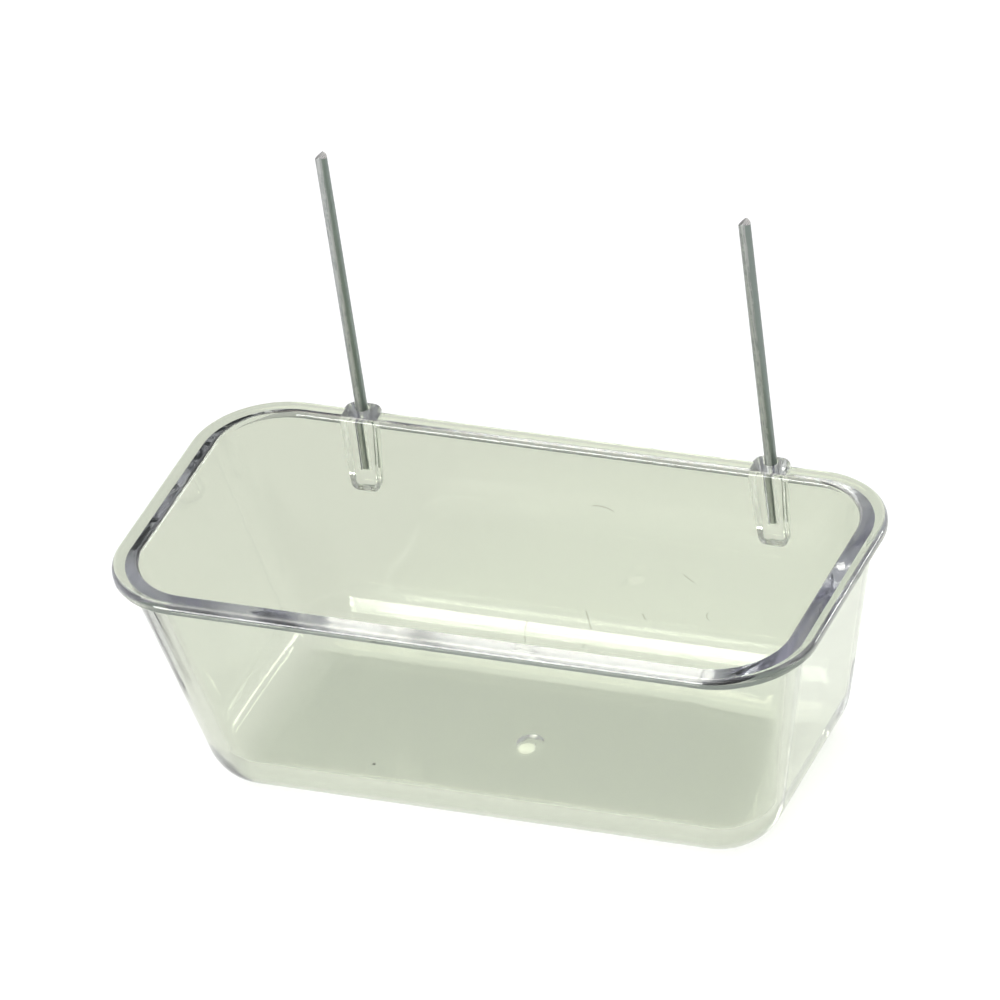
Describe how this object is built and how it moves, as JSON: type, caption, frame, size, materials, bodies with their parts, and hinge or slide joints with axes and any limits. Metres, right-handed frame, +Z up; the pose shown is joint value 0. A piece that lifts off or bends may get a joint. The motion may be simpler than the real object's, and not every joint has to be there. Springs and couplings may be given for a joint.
{
  "type": "bird cage feeder",
  "caption": "Clear moulded plastic trough with a flat rounded lip, and bosses on its back wall that hold straight steel wires for hanging it in a bird cage.",
  "frame": {"origin": "on the table, on the trough's flat underside, straight below the middle of the rim", "axes": "+X along the trough, +Y towards the cage side with the bosses and wires, +Z up"},
  "size_m": [0.12, 0.0614, 0.0925],
  "materials": {
    "clear_plastic": "clear polystyrene with a faint green tint, polished mould finish",
    "galvanised_wire": "drawn galvanised steel with light lengthwise streaks"
  },
  "bodies": {
    "root": {"trough": "clear_plastic", "left_wire": "galvanised_wire", "right_wire": "galvanised_wire"}
  },
  "joints": []
}
